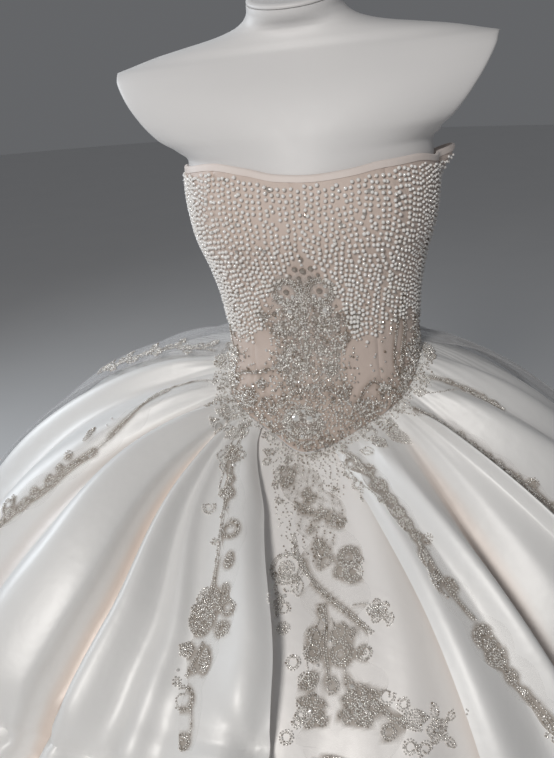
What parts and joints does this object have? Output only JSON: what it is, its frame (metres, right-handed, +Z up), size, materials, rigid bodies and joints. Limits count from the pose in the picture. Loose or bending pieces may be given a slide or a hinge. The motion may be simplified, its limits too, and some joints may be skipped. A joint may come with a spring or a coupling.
{
  "type": "short wedding dress on limbless dress form",
  "caption": "Strapless beaded bodice with a full gathered satin skirt, sheer back layer and appliques, on a limbless dress form with a round base.",
  "frame": {"origin": "centre of the base plate's underside, on the floor", "axes": "+Z up along the pole, -Y towards the front of the dress, +X to the viewer's right"},
  "size_m": [1.233, 1.2386, 1.4498],
  "materials": {
    "stand_metal": "satin",
    "form_shell": "satin white",
    "bodice_cloth": "satin under net",
    "binding_satin": "satin",
    "ivory_satin": "duchess satin",
    "blush_satin": "duchess satin",
    "tulle": "sheer",
    "applique_net": "beaded"
  },
  "bodies": {
    "root": {"base_plate": "stand_metal", "pole": "stand_metal", "form_flange": "stand_metal", "form_torso": "form_shell", "neck_cap": "form_shell", "bodice_back_left": "bodice_cloth", "bodice_side_back_left": "bodice_cloth", "bodice_side_front_left": "bodice_cloth", "bodice_centre_front_left": "bodice_cloth", "bodice_centre_front_right": "bodice_cloth", "bodice_side_front_right": "bodice_cloth", "bodice_side_back_right": "bodice_cloth", "bodice_back_right": "bodice_cloth", "neckline_binding": "binding_satin", "back_placket": "binding_satin", "back_button_1": "binding_satin", "back_button_2": "binding_satin", "back_button_3": "binding_satin", "back_button_4": "binding_satin", "back_button_5": "binding_satin", "back_button_6": "binding_satin", "back_button_7": "binding_satin", "back_button_8": "binding_satin", "back_button_9": "binding_satin", "skirt_centre_front": "blush_satin", "skirt_left_front": "ivory_satin", "skirt_left_side": "ivory_satin", "skirt_left_back": "ivory_satin", "skirt_right_front": "ivory_satin", "skirt_right_side": "ivory_satin", "skirt_right_back": "ivory_satin", "tulle_overlay_left": "tulle", "tulle_overlay_right": "tulle", "applique_left_outer": "applique_net", "applique_left_inner": "applique_net", "applique_right_inner": "applique_net", "applique_right_outer": "applique_net", "applique_right_side": "applique_net", "applique_centre_cascade": "applique_net", "applique_bodice_crest": "applique_net", "applique_waist_medallion": "applique_net"}
  },
  "joints": []
}
